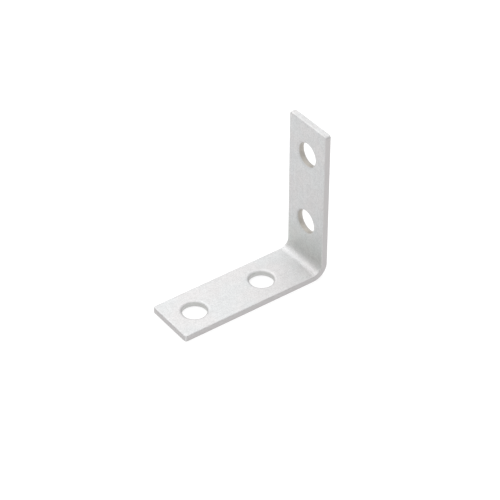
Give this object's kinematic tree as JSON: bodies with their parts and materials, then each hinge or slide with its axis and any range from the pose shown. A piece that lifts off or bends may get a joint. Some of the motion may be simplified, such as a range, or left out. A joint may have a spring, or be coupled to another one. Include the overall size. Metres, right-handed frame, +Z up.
{
  "type": "angle bracket",
  "caption": "Small right-angle bracket: a flat zinc-plated steel strip folded square with a soft heel, with round screw holes in both legs.",
  "frame": {"origin": "centre of the foot's underside, on the surface that the bracket stands on", "axes": "X along the foot, with its free end at -X and the upright at +X; Y across the strip's width; +Z up the upright"},
  "size_m": [0.0382, 0.0126, 0.0381],
  "materials": {
    "zinc_steel": "bright zinc plating over rolled steel, satin, with a fine grain"
  },
  "bodies": {
    "root": {"bracket": "zinc_steel"}
  },
  "joints": []
}
